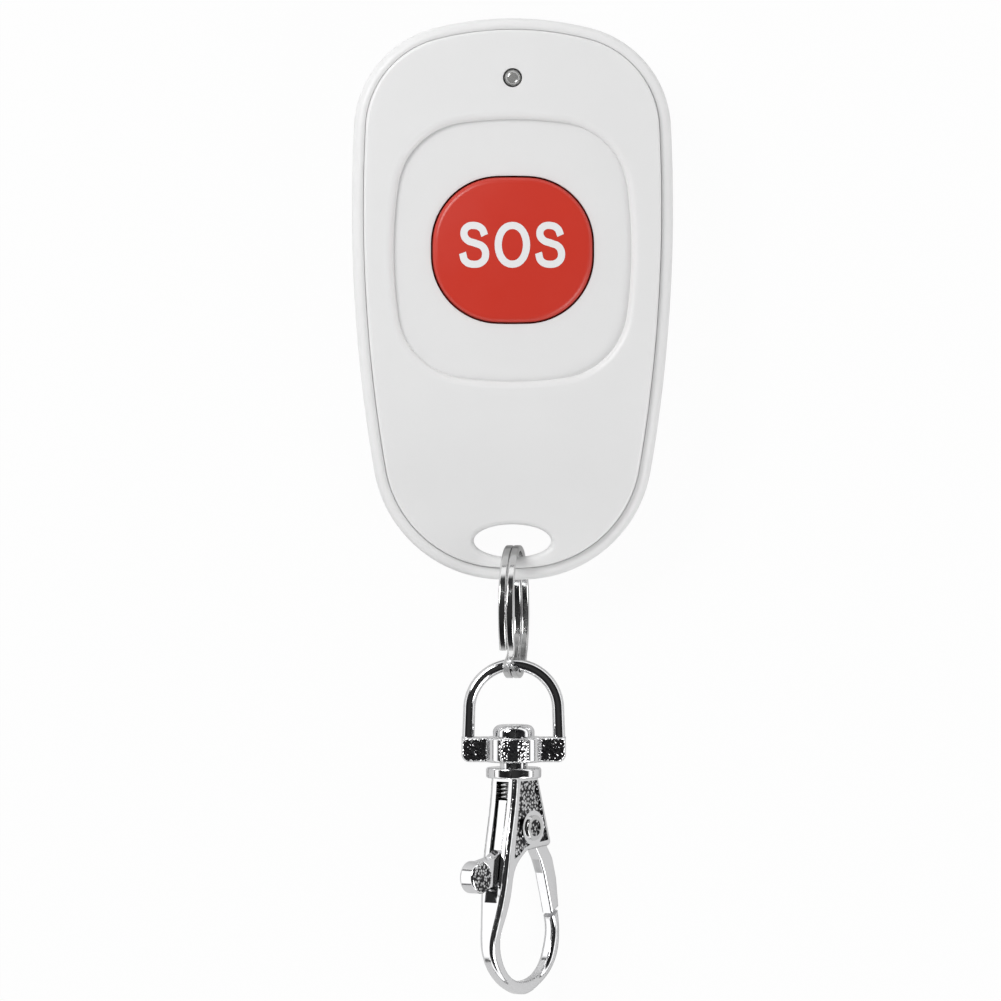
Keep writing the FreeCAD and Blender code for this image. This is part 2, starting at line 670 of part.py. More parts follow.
grooves = [Part.makeTorus(coil_diameter / 2.0 + 0.08, 0.14,
                          V(coil_at[0], coil_at[1] + (n - turns / 2.0) * coil_wire, board_top + coil_diameter / 2.0),
                          V(0, 1, 0)) for n in range(1, turns)]
for groove in grooves:
    coil = coil.cut(groove)
export(coil, "tuning_coil")
for name, x, y in (("capacitor_1", capacitor_side_room - case_half_width, -4.0),
                   ("capacitor_2", capacitor_side_room - case_half_width, -6.6),
                   ("resistor_1", case_half_width - resistor_side_room, 14.4)):
    small = block(x, y, board_top, chip_part_size)
    export(small.makeFillet(0.12, edges_where(small, lambda edge, p: abs(p.x - x) > 0.9)), name)

# Wire antenna, a bent loop that stands on the board
wire_r = antenna_wire_diameter / 2.0
aerial_z = board_top + antenna_height


def bent_wire(points, radius, bend):
    """A round wire through points in one plane, with a tangent arc at each corner."""
    edges = []
    at = points[0]
    for before, corner, after in zip(points, points[1:], points[2:]):
        a = unit(before.sub(corner))
        b = unit(after.sub(corner))
        half = a.getAngle(b) / 2.0
        cut = bend / math.tan(half)
        p = corner.add(V(a).multiply(cut))
        q = corner.add(V(b).multiply(cut))
        inward = unit(a.add(b))
        centre = corner.add(V(inward).multiply(bend / math.sin(half)))
        middle = centre.sub(V(inward).multiply(bend))
        edges.append(Part.LineSegment(at, p).toShape())
        edges.append(Part.Arc(p, middle, q).toShape())
        at = q
    edges.append(Part.LineSegment(at, points[-1]).toShape())
    path = Part.Wire(edges)
    start = unit(points[1].sub(points[0]))
    section = Part.Wire(Part.makeCircle(radius, points[0], start))
    return path.makePipeShell([section], True, True)


aerial = bent_wire([V(-antenna_half_width, antenna_low_y, board_top), V(-antenna_half_width, antenna_low_y, aerial_z),
                    V(-antenna_half_width, antenna_high_y, aerial_z), V(-antenna_half_width, antenna_high_y, board_top)],
                   wire_r, antenna_bend_radius)
export(aerial, "antenna_wire")

# Coin cell under the board, its clip and its contact
cell_z = floor_z + clip_thickness
cell_can = cylinder(0, cell_y, cell_z, cell_z + cell_thickness - 0.4, cell_diameter)
cell_can = cell_can.makeFillet(0.4, cell_can.Edges[0:3:2])
cell_cap = cylinder(0, cell_y, cell_z, cell_z + cell_thickness, cell_diameter - 2.0 * cell_rim)
cell = cell_can.fuse(cell_cap).removeSplitter()
export(cell, "coin_cell")
clip_out = cell_diameter / 2.0 + clip_side_gap
clip = block(0, cell_y, floor_z, (2.0 * clip_out, clip_width, clip_thickness))
for side in (-1, 1):
    clip = clip.fuse(block(side * (clip_out + clip_thickness / 2.0), cell_y, floor_z,
                           (clip_thickness, clip_width, board_z - floor_z)))
    clip = clip.fuse(block(side * (clip_out + 1.0), cell_y, board_z - clip_thickness,
                           (2.0, clip_width, clip_thickness)))
export(clip.removeSplitter(), "cell_clip")
cell_top = cell_z + cell_thickness
contact = block(0, cell_y, board_z - contact_thickness, (contact_size[0], contact_size[1], contact_thickness))
for side in (-1, 1):
    contact = contact.fuse(cylinder(side * 2.4, cell_y, cell_top, board_z - 0.1, 1.4))
export(contact.removeSplitter(), "cell_contact")

# Case screw: pan head in the back's recess
head_z = screw_recess_depth - screw_head_height
screw = cylinder(0, screw_y, head_z, screw_recess_depth, screw_head_diameter)
screw = screw.makeFillet(0.35, edges_where(screw, lambda edge, p: abs(p.z - head_z) < 1e-4))
shank = cylinder(0, screw_y, screw_recess_depth, screw_recess_depth + screw_length, screw_diameter - 0.3)
screw = screw.fuse(shank.makeChamfer(0.4, edges_where(shank, lambda edge, p: p.z > screw_recess_depth + 8.0
                                                      and edge.Closed)))
for angle in (0.0, 90.0):
    blade = block(0, 0, 0.0, (1.9, 0.45, 0.6))
    blade.rotate(V(0, 0, 0), V(0, 0, 1), angle)
    blade.translate(V(0, screw_y, head_z))
    screw = screw.cut(blade)
export(screw.removeSplitter(), "case_screw")

# Split ring: two turns of flat wire joined by a short jog; angles run from the front, up and over
ring_inner_radius = ring_outer_radius - ring_wire_radial
ring_centre = V(ring_side_shift, slot_y - slot_half_height + ring_bar_gap - ring_inner_radius, bar_z)
ring_offset = (ring_wire_axial + ring_turn_gap) / 2.0


def ring_section(x, angle):
    """The flat wire's rounded section, square to the ring at an angle in degrees."""
    radial = (ring_inner_radius + ring_outer_radius) / 2.0
    r = 0.2
    a = ring_wire_axial / 2.0
    b = ring_wire_radial / 2.0
    k = r * (1.0 - math.sqrt(0.5))
    spots = [(a, -b + r), (a, b - r), (a - k, b - k), (a - r, b), (-a + r, b), (-a + k, b - k), (-a, b - r),
             (-a, -b + r), (-a + k, -b + k), (-a + r, -b), (a - r, -b), (a - k, -b + k)]
    points = [V(x + px, 0, radial + pz) for px, pz in spots]
    edges = []
    for n in (0, 3, 6, 9):
        edges.append(Part.LineSegment(points[n], points[n + 1]).toShape())
        edges.append(Part.Arc(points[n + 1], points[n + 2], points[(n + 3) % 12]).toShape())
    wire = Part.Wire(edges)
    wire.rotate(V(0, 0, 0), V(1, 0, 0), -angle)
    return wire


turn_deg = 360.0 - ring_jog_deg
near_turn = Part.Face(ring_section(-ring_offset, ring_end_deg)).revolve(V(0, 0, 0), V(1, 0, 0), -turn_deg)
far_turn = Part.Face(ring_section(ring_offset, ring_end_deg)).revolve(V(0, 0, 0), V(1, 0, 0), -turn_deg)
sections = []
for n in range(7):
    share = n / 6.0
    ease = share * share * (3.0 - 2.0 * share)
    sections.append(ring_section(-ring_offset + 2.0 * ring_offset * ease,
                                 ring_end_deg - ring_jog_deg * (1.0 - share)))
jog = Part.makeLoft(sections, True, False)
ring = near_turn.fuse([far_turn, jog])
ring.rotate(V(0, 0, 0), V(0, 1, 0), ring_yaw_deg)
ring.translate(ring_centre)
export(ring, "split_ring")

# The bow and the hook are built in the hook's frame and then laid down behind the ring
bow_bar_v = bow_arc_v + bow_half_width - bow_bar_width / 2.0
bow_bar_centre = V(ring_side_shift, ring_centre.y - ring_inner_radius + bow_ring_gap + bow_bar_width / 2.0, ring_centre.z)


def lay(shape, roll):
    """Carry a shape from the hook's frame to its place, rolled about the swivel axis."""
    shape.rotate(V(0, 0, 0), V(0, 1, 0), roll)
    shape.translate(V(0, -bow_bar_v, 0))
    shape.rotate(V(0, 0, 0), V(1, 0, 0), lie_deg)
    shape.translate(bow_bar_centre)
    return shape


def along_v(low, high, diameter, u=0.0):
    """A round bar along the swivel axis."""
    return Part.makeCylinder(diameter / 2.0, high - low, V(u, low, 0), V(0, 1, 0))


def along_w(u, v, low, high, diameter):
    """A round bar along the pin's axis."""
    return Part.makeCylinder(diameter / 2.0, high - low, V(u, v, low), V(0, 0, 1))


def flat(points):
    """A closed face with straight sides in the hook's plane."""
    corners = [V(u, v, 0) for u, v in points]
    return Part.Face(Part.makePolygon(corners + corners[:1]))


def slab(face, thickness):
    """A face in the hook's plane given a thickness both ways."""
    face.translate(V(0, 0, -thickness / 2.0))
    return face.extrude(V(0, 0, thickness))


def bow_outline(inset, low):
    """The bow's outline: an arch on two legs that spread a little to the foot."""
    r = bow_half_width - inset
    foot = bow_foot_half_width - inset
    arch = Part.Arc(V(-r, bow_arc_v, 0), V(0, bow_arc_v + r, 0), V(r, bow_arc_v, 0)).toShape()
    legs = [Part.LineSegment(V(r, bow_arc_v, 0), V(foot, low, 0)).toShape(),
            Part.LineSegment(V(foot, low, 0), V(-foot, low, 0)).toShape(),
            Part.LineSegment(V(-foot, low, 0), V(-r, bow_arc_v, 0)).toShape()]
    return Part.Face(Part.Wire([arch] + legs))


crossbar_top_v = crossbar_low_v + crossbar_height


def crossbar_outline():
    """The crossbar's outline, with its two lower corners rounded."""
    half = bow_foot_half_width
    low = crossbar_low_v
    r = crossbar_corner_radius
    k = r * (1.0 - math.sqrt(0.5))
    edges = [Part.LineSegment(V(-half + r, low, 0), V(half - r, low, 0)).toShape(),
             Part.Arc(V(half - r, low, 0), V(half - k, low + k, 0), V(half, low + r, 0)).toShape(),
             Part.LineSegment(V(half, low + r, 0), V(half, crossbar_top_v, 0)).toShape(),
             Part.LineSegment(V(half, crossbar_top_v, 0), V(-half, crossbar_top_v, 0)).toShape(),
             Part.LineSegment(V(-half, crossbar_top_v, 0), V(-half, low + r, 0)).toShape(),
             Part.Arc(V(-half, low + r, 0), V(-half + k, low + k, 0), V(-half + r, low, 0)).toShape()]
    return Part.Face(Part.Wire(edges))


# Swivel bow
arch = slab(bow_outline(0.0, crossbar_low_v + crossbar_corner_radius), bow_bar_thickness)
arch = arch.cut(slab(bow_outline(bow_bar_width, crossbar_low_v - 1.0), 8.0))
arch = arch.makeFillet(bow_edge_radius, edges_where(arch, lambda edge, p: p.y > crossbar_low_v + crossbar_corner_radius + 0.1))
crossbar = slab(crossbar_outline(), crossbar_thickness)
crossbar = crossbar.makeFillet(crossbar_edge_radius, edges_where(
    crossbar, lambda edge, p: abs(abs(p.z) - crossbar_thickness / 2.0) < 1e-6))
barrel = along_v(crossbar_low_v, crossbar_top_v, barrel_diameter)
barrel = barrel.makeFillet(crossbar_edge_radius, edges_where(barrel, lambda edge, p: edge.Closed))
bow = arch.fuse([crossbar, barrel]).removeSplitter()
bow = bow.cut(along_v(0.0, 8.0, neck_diameter + 2.0 * swivel_clearance))
export(lay(bow, 0.0), "swivel_bow")

# Hook body: outline, thickness that tapers down the loop, rounded edges
def spline(points):
    """A smooth curve through points of the hook's plane."""
    curve = Part.BSplineCurve()
    curve.interpolate([V(u, v, 0) for u, v in points])
    return curve.toShape()


def side_slab(half_top, half_low, start_v, end_v):
    """Space between two curved sides that close in from one thickness to another, seen along u."""
    top_v, low_v = 1.0, -30.0
    edges = []
    for side in (1, -1):
        bend = Part.BezierCurve()
        middle = (start_v + end_v) / 2.0
        bend.setPoles([V(0, start_v, side * half_top), V(0, middle, side * half_top),
                       V(0, middle, side * half_low), V(0, end_v, side * half_low)])
        run = [Part.LineSegment(V(0, top_v, side * half_top), V(0, start_v, side * half_top)).toShape(),
               bend.toShape(),
               Part.LineSegment(V(0, end_v, side * half_low), V(0, low_v, side * half_low)).toShape()]
        edges.extend(run)
    edges.append(Part.LineSegment(V(0, top_v, half_top), V(0, top_v, -half_top)).toShape())
    edges.append(Part.LineSegment(V(0, low_v, half_low), V(0, low_v, -half_low)).toShape())
    face = Part.Face(Part.Wire(Part.__sortEdges__(edges)))
    face.translate(V(-20.0, 0, 0))
    return face.extrude(V(40.0, 0, 0))


inner_end = hook_inner[-1]
outline = Part.Wire([spline(hook_outer),
                     Part.LineSegment(V(*hook_outer[-1], 0), V(*hook_inner[0], 0)).toShape(),
                     spline(hook_inner),
                     Part.LineSegment(V(*inner_end, 0), V(*cheek_corner, 0)).toShape(),
                     Part.LineSegment(V(*cheek_corner, 0), V(cheek_top_u, 0, 0)).toShape(),
                     Part.LineSegment(V(cheek_top_u, 0, 0), V(*hook_outer[0], 0)).toShape()])
hook = slab(Part.Face(outline), 2.0 * shoulder_thickness)
half_shoulder = shoulder_thickness / 2.0
hook = hook.common(side_slab(half_shoulder, loop_thickness / 2.0, taper_start_v, taper_end_v))
nose = side_slab(half_shoulder * 2.0, half_shoulder * 2.0, taper_start_v, taper_end_v)
nose = nose.cut(side_slab(nose_thickness / 2.0, loop_thickness / 2.0, nose_start_v, taper_end_v))
nose = nose.common(Part.makeBox(20.0, 20.0, 40.0, V(nose_u, nose_start_v - 20.0, -20.0)))
hook = hook.cut(nose).removeSplitter()


cheek_corners = edges_where(hook, lambda edge, p: abs(p.z) < 1e-3
                            and math.hypot(p.x - cheek_corner[0], p.y - cheek_corner[1]) < 0.05)
hook = hook.makeFillet(cheek_corner_radius, cheek_corners)


def is_rim(edge, point):
    """Whether an edge runs round the hook's side, and not over its top, its tip or straight across it."""
    ends = [v.Point for v in edge.Vertexes]
    level = edge.Curve.TypeId == "Part::GeomLine" and abs(ends[0].y - ends[-1].y) < 1e-3
    tip = (V(*hook_outer[-1], 0) + V(*hook_inner[0], 0)).multiply(0.5)
    at_tip = math.hypot(point.x - tip.x, point.y - tip.y) < 0.3
    return point.y < -0.01 and abs(point.z) > 0.1 and not level and not at_tip


rounded = edges_where(hook, is_rim)
hook = hook.makeFillet(hook_edge_radius, rounded)
print("hook rounded", hook.isValid(), len(hook.Solids), len(hook.Edges))

# Hook body: channel for the lever, sunk cheek panels, pin bosses, collar, neck and riveted head
hook = hook.cut(slab(flat(channel), channel_width))
boss_face = half_shoulder + boss_height
for side in (1, -1):
    pocket = flat(panel).extrude(V(0, 0, 1.0))
    pocket.translate(V(0, 0, half_shoulder - panel_depth))
    ring_boss = along_w(pivot_u, pivot_v, half_shoulder - panel_depth - 0.1, boss_face, boss_diameter)
    if side < 0:
        pocket = pocket.mirror(V(0, 0, 0), V(0, 0, 1))
        ring_boss = ring_boss.mirror(V(0, 0, 0), V(0, 0, 1))
    hook = hook.cut(pocket).fuse(ring_boss)
hook = hook.cut(along_w(pivot_u, pivot_v, -3.0, 3.0, rivet_diameter + 0.02))
collar = along_v(-0.05, collar_height, collar_diameter)
collar = collar.makeFillet(0.25, edges_where(collar, lambda edge, p: edge.Closed))
head_low_v = crossbar_low_v + crossbar_height + head_gap
head = along_v(head_low_v, head_low_v + head_height, head_diameter)
head_top_v = head_low_v + head_height
head = head.makeFillet(head_edge_radius, edges_where(head, lambda edge, p: edge.Closed and abs(p.y - head_top_v) < 0.1))
neck = along_v(collar_height - 0.1, head_low_v + 0.1, neck_diameter)
hook = hook.fuse([collar, neck, head]).removeSplitter()
export(lay(hook, hook_roll_deg), "hook_body")

# Latch lever: gate, hub, arm and thumb knob
gate_plate = slab(flat(gate), lever_thickness)
arm_plate = slab(flat(arm), lever_thickness)
hub = along_w(pivot_u, pivot_v, -lever_thickness / 2.0, lever_thickness / 2.0, 2.0 * lever_hub_radius)
lever = hub.fuse([gate_plate, arm_plate]).removeSplitter()
lever = lever.cut(along_w(pivot_u, pivot_v, -3.0, 3.0, rivet_diameter + 2.0 * rivet_clearance))
lever_rims = edges_where(lever, lambda edge, p: abs(abs(p.z) - lever_thickness / 2.0) < 1e-4
                         and math.hypot(p.x - pivot_u, p.y - pivot_v) > 1.2)
lever = lever.makeFillet(lever_edge_radius, lever_rims)
knob = along_w(knob_u, knob_v, -knob_length / 2.0, knob_length / 2.0, knob_diameter)
knob = knob.makeFillet(knob_edge_radius, edges_where(knob, lambda edge, p: edge.Closed))
lever = lever.fuse(knob).removeSplitter()
export(lay(lever, hook_roll_deg), "latch_lever")

# Pin, spread over both bosses
pin = along_w(pivot_u, pivot_v, -boss_face, boss_face, rivet_diameter)
for side in (1, -1):
    low, high = sorted((side * boss_face, side * (boss_face + rivet_head_height)))
    pin_head = along_w(pivot_u, pivot_v, low, high, rivet_head_diameter)
    top_rim = edges_where(pin_head, lambda edge, p: abs(abs(p.z) - boss_face - rivet_head_height) < 1e-4)
    pin = pin.fuse(pin_head.makeFillet(0.15, top_rim))
    low, high = sorted((side * (boss_face + 0.1), side * (boss_face + 1.0)))
    pin = pin.cut(along_w(pivot_u, pivot_v, low, high, rivet_dimple_diameter))
export(lay(pin.removeSplitter(), hook_roll_deg), "hinge_rivet")

# Latch spring: a small coil between the channel's top and the lever's seat
spring_length = spring_top_v - spring_low_v - spring_wire - 0.04
pitch = spring_length / spring_turns
coil_radius = (spring_diameter - spring_wire) / 2.0
helix = Part.makeHelix(pitch, spring_length, coil_radius)
start = V(coil_radius, 0, 0)
section = Part.Wire(Part.makeCircle(spring_wire / 2.0, start, V(0, 1, pitch / (2.0 * math.pi * coil_radius))))
spring = Part.Wire(helix.Edges).makePipeShell([section], True, True)
spring.rotate(V(0, 0, 0), V(1, 0, 0), -90.0)
spring.translate(V(spring_u, spring_low_v + spring_wire / 2.0 + 0.02, 0))
export(lay(spring, hook_roll_deg), "latch_spring")
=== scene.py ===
"""Wireless panic button on a split ring, swivel bow and trigger snap hook, lying on its back."""
import json
import math

import bpy
from mathutils import Matrix, Vector


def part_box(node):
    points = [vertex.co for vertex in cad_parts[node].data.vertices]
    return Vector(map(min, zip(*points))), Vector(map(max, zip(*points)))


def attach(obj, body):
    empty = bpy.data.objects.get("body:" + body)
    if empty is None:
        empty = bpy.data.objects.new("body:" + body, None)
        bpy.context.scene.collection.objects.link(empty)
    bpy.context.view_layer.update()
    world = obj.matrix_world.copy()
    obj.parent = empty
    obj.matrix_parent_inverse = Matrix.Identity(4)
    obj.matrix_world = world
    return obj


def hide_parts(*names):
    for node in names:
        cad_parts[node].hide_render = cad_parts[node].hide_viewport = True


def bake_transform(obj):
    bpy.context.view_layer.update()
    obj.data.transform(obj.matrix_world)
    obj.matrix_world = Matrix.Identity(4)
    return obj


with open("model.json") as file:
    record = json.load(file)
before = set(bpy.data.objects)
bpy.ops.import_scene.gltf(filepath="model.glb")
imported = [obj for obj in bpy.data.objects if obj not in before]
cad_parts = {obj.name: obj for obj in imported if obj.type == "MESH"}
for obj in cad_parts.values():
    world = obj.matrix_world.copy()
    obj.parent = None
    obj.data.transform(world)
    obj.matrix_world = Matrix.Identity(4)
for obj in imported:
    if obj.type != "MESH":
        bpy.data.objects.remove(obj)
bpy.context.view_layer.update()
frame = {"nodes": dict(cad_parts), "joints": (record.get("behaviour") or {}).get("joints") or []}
nodes = frame["nodes"]
bpy.ops.object.select_all(action="DESELECT")


# Rear cover
# The rear half of the case, injection moulded in white ABS. Its mould was spark eroded, so the skin has
# a very fine, even grain, and its rounded rim frames the face plate.


class Signal:
    """A socket of a shader tree. A sum, product or comparison of signals adds its Math node."""

    def __init__(self, finish, socket):
        self.finish = finish
        self.socket = socket

    def maths(self, operation, first, second=0.5):
        return self.finish.node("ShaderNodeMath", {"operation": operation}, {0: first, 1: second})

    def __add__(self, other):
        return self.maths("ADD", self, other)

    __radd__ = __add__

    def __sub__(self, other):
        return self.maths("SUBTRACT", self, other)

    def __rsub__(self, other):
        return self.maths("SUBTRACT", other, self)

    def __mul__(self, other):
        return self.maths("MULTIPLY", self, other)

    __rmul__ = __mul__

    def __truediv__(self, other):
        return self.maths("DIVIDE", self, other)

    def __gt__(self, other):
        return self.maths("GREATER_THAN", self, other)


class Finish:
    """A shader tree with one way to add any node."""

    def __init__(self, owner):
        owner.use_nodes = True
        self.owner = owner
        self.tree = owner.node_tree

    def node(self, kind, settings=None, inputs=None, output=0):
        made = self.tree.nodes.new(kind)
        for key, value in (settings or {}).items():
            if key == "stops":
                ramp = made.color_ramp
                while len(ramp.elements) < len(value):
                    ramp.elements.new(1.0)
                for element, (place, colour) in zip(ramp.elements, value):
                    element.position = place
                    element.color = colour
            else:
                setattr(made, key, value)
        for key, value in (inputs or {}).items():
            if isinstance(value, Signal):
                self.tree.links.new(value.socket, made.inputs[key])
            else:
                made.inputs[key].default_value = value
        return Signal(self, made.outputs[output])

    def surface(self, **values):
        """Set or link the sockets of the Principled shader."""
        shader = self.tree.nodes["Principled BSDF"]
        for key, value in values.items():
            socket = shader.inputs[key.replace("_", " ")]
            if isinstance(value, Signal):
                self.tree.links.new(value.socket, socket)
            else:
                socket.default_value = value

    def place(self, turn=(0.0, 0.0, 0.0), stretch=(1.0, 1.0, 1.0)):
        """The piece's own coordinates, turned and stretched."""
        where = self.node("ShaderNodeTexCoord", output="Object")
        return self.node("ShaderNodeMapping", None, {"Vector": where, "Rotation": turn, "Scale": stretch})

    def noise(self, where, scale, detail=2.0, rough=0.5):
        return self.node("ShaderNodeTexNoise", None,
                         {"Vector": where, "Scale": scale, "Detail": detail, "Roughness": rough})

    def blend(self, share, low, high):
        """A colour between two others."""
        return self.node("ShaderNodeMix", {"data_type": "RGBA"}, {0: share, 6: low, 7: high}, 2)

    def bump(self, height, depth, below=None):
        inputs = {"Height": height, "Distance": depth, "Strength": 1.0}
        if below:
            inputs["Normal"] = below
        return self.node("ShaderNodeBump", None, inputs)


# Light sinks this far into the pale plastic, and softens its seams.
bleed_depth = 0.0009


def moulded(name, low, high, roughness, grain=0.0000035, grain_scale=7000.0, coat=0.0, bleed=0.0):
    """Injection moulded plastic: faint cloudiness, a fine eroded grain and slight polish from handling."""
    finish = Finish(bpy.data.materials.new(name))
    where = finish.place()
    cloud = finish.noise(where, 120.0, 3.0)
    grit = finish.noise(where, grain_scale, 2.0, 0.6)
    sink = finish.noise(where, 60.0, 1.0)
    wear = finish.noise(where, 300.0, 4.0)
    finish.surface(Base_Color=finish.blend(cloud, low, high), Roughness=roughness - 0.05 + 0.1 * wear,
                   Normal=finish.bump(sink, 0.00002, finish.bump(grit, grain)),
                   Coat_Weight=coat, Coat_Roughness=0.2, IOR=1.5, Subsurface_Weight=bleed,
                   Subsurface_Radius=(1.0, 1.0, 1.0), Subsurface_Scale=bleed_depth)
    return finish.owner


def wear_finish(node, material):
    """Give a node of the frame its finish."""
    nodes[node].data.materials.clear()
    nodes[node].data.materials.append(material)


shell_white = moulded("shell_white", (0.80, 0.80, 0.80, 1), (0.83, 0.83, 0.83, 1), 0.36, bleed=0.4)
wear_finish("rear_cover", shell_white)

# Circuit board and what is soldered to it
# Glass-fibre board with a green mask, and the parts that a one-button transmitter carries: a tact switch
# under the key, an encoder chip, a resonator can, a trimmed coil, chip parts and a wire loop aerial.


def metal(name, colour, roughness, wave=0.000004, wave_scale=500.0, scratch=0.04, ground=None):
    """Worked or plated metal: a slightly uneven surface, with faint hairlines in the polish."""
    finish = Finish(bpy.data.materials.new(name))
    where = finish.place()
    uneven = finish.noise(where, wave_scale, 1.0)
    hair = finish.noise(finish.place(turn=(0.3, 0.2, 0.6), stretch=(1.0, 14.0, 1.0)), 900.0, 4.0, 0.7)
    skin = finish.bump(uneven, wave)
    tone = finish.blend(hair, [c * 0.94 for c in colour[:3]] + [1], colour)
    if ground:
        skin, tone = ground(finish, where, skin, tone)
    finish.surface(Base_Color=tone, Metallic=1.0, Roughness=roughness + scratch * hair, Normal=skin)
    return finish.owner


board_mask = moulded("board_mask", (0.012, 0.11, 0.045, 1), (0.018, 0.15, 0.06, 1), 0.3, coat=0.4)
black_moulding = moulded("black_moulding", (0.012, 0.012, 0.012, 1), (0.02, 0.02, 0.02, 1), 0.45)
fired_ceramic = moulded("fired_ceramic", (0.42, 0.33, 0.24, 1), (0.5, 0.4, 0.3, 1), 0.5)
tinned_steel = metal("tinned_steel", (0.66, 0.66, 0.65, 1), 0.28)
enamelled_copper = metal("enamelled_copper", (0.72, 0.33, 0.14, 1), 0.25)
wear_finish("circuit_board", board_mask)
for piece in ("switch_body", "switch_plunger", "encoder_chip", "resistor_1"):
    wear_finish(piece, black_moulding)
for piece in ("capacitor_1", "capacitor_2"):
    wear_finish(piece, fired_ceramic)
for piece in ("switch_cover", "dome_contact", "resonator_can"):
    wear_finish(piece, tinned_steel)
for piece in ("tuning_coil", "antenna_wire"):
    wear_finish(piece, enamelled_copper)


merge_distance = 0.000001
crease_angle = math.radians(35.0)


def giving_way(node, name):
    """A copy of a spring that gives, merged at its seams and shaded smooth, shown in place of its node."""
    spring = bpy.data.objects.new(name, nodes[node].data.copy())
    spring.data.transform(nodes[node].matrix_world)
    bpy.context.scene.collection.objects.link(spring)
    bpy.ops.object.select_all(action="DESELECT")
    bpy.context.view_layer.objects.active = spring
    spring.select_set(True)
    bpy.ops.object.mode_set(mode="EDIT")
    bpy.ops.mesh.select_all(action="SELECT")
    bpy.ops.mesh.remove_doubles(threshold=merge_distance)
    bpy.ops.object.mode_set(mode="OBJECT")
    bpy.ops.object.shade_smooth_by_angle(angle=crease_angle)
    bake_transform(spring)
    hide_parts(node)


giving_way("dome_contact", "switch_dome")

# Coin cell, its contacts and the case screw
# A pressed steel cell between two bronze springs, and a blackened cross-head screw up into the face plate.
cell_steel = metal("cell_steel", (0.70, 0.70, 0.69, 1), 0.2)
spring_bronze = metal("spring_bronze", (0.74, 0.58, 0.34, 1), 0.3)
screw_black = metal("screw_black", (0.20, 0.20, 0.21, 1), 0.35)
wear_finish("coin_cell", cell_steel)
wear_finish("cell_clip", spring_bronze)
wear_finish("cell_contact", spring_bronze)
wear_finish("case_screw", screw_black)

# Front cover
# The crowned face plate with its button dish and keyring slot, moulded in the same white as the shell.
plate_white = moulded("plate_white", (0.775, 0.775, 0.775, 1), (0.80, 0.80, 0.80, 1), 0.34, bleed=0.4)
wear_finish("front_cover", plate_white)

# Button
# A red moulded key cap with a low crown. It shows in the dish, and its stem presses the tact switch.
key_red = moulded("key_red", (0.565, 0.029, 0.014, 1), (0.60, 0.036, 0.018, 1), 0.36, coat=0.15)
wear_finish("sos_button", key_red)

# Lettering
# The three letters of the call for help, pad printed on the key's crown in pale ink. Each letter is one
# stroke of even width, drawn along its middle line.
letter_middle = Vector((-0.00002, 0.00615, 0.0))
stroke_width = 0.00082
letter_pitch = 0.00434
letter_s = [(0.00118, 0.00108), (0.00082, 0.00186), (-0.00002, 0.00222), (-0.00092, 0.00197),
            (-0.00119, 0.00126),
            (-0.00082, 0.00056), (0.00012, 0.00018), (0.00096, -0.00022), (0.00128, -0.0011),
            (0.00094, -0.0019), (-0.00002, -0.00222), (-0.00102, -0.00186), (-0.00136, -0.00092)]
letter_o = [(0.0, 0.00222), (-0.00162, 0.0), (0.0, -0.00222), (0.00162, 0.0)]
ink_lift = 0.00002
drop = 0.001
nib_line = bpy.data.curves.new("nib", "CURVE")
nib_line.splines.new("POLY").points.add(1)
for point, side in zip(nib_line.splines[0].points, (-0.5, 0.5)):
    point.co = (side * stroke_width, 0.0, 0.0, 1.0)
nib = bpy.data.objects.new("nib", nib_line)
bpy.context.scene.collection.objects.link(nib)
strokes = bpy.data.curves.new("sos_lettering", "CURVE")
strokes.dimensions = "2D"
strokes.fill_mode = "NONE"
strokes.resolution_u = 8
strokes.bevel_mode = "OBJECT"
strokes.bevel_object = nib
key_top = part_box("sos_button")[1].z
word = ((letter_s, -letter_pitch, False), (letter_o, 0.0, True), (letter_s, letter_pitch, False))
for outline, shift, closed in word:
    stroke = strokes.splines.new("BEZIER")
    stroke.bezier_points.add(len(outline) - 1)
    for point, (across, up) in zip(stroke.bezier_points, outline):
        point.co = (across + shift, up, 0.0)
        point.handle_left_type = "AUTO"
        point.handle_right_type = "AUTO"
    stroke.use_cyclic_u = closed
letters = bpy.data.objects.new("sos_lettering", strokes)
bpy.context.scene.collection.objects.link(letters)
bpy.ops.object.select_all(action="DESELECT")
bpy.context.view_layer.objects.active = letters
letters.select_set(True)
bpy.ops.object.convert(target="MESH")
letters = bpy.context.object
bpy.data.objects.remove(nib)
letters.data.transform(Matrix.Translation(letter_middle + Vector((0.0, 0.0, key_top + drop))))
bpy.ops.object.mode_set(mode="EDIT")
bpy.ops.mesh.select_all(action="SELECT")
bpy.ops.mesh.remove_doubles(threshold=merge_distance)
if sum(face.normal.z for face in letters.data.polygons) < 0.0:
    bpy.ops.mesh.flip_normals()
bpy.ops.object.mode_set(mode="OBJECT")
wrap = letters.modifiers.new("wrap", "SHRINKWRAP")
wrap.target = nodes["sos_button"]
wrap.wrap_method = "PROJECT"
wrap.use_project_z = True
wrap.use_negative_direction = True
wrap.use_positive_direction = False
wrap.offset = ink_lift
bpy.ops.object.modifier_apply(modifier="wrap")
ink = moulded("pale_ink", (0.77, 0.77, 0.78, 1), (0.81, 0.81, 0.82, 1), 0.45, grain=0.000001)
letters.data.materials.clear()
letters.data.materials.append(ink)
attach(letters, "button")

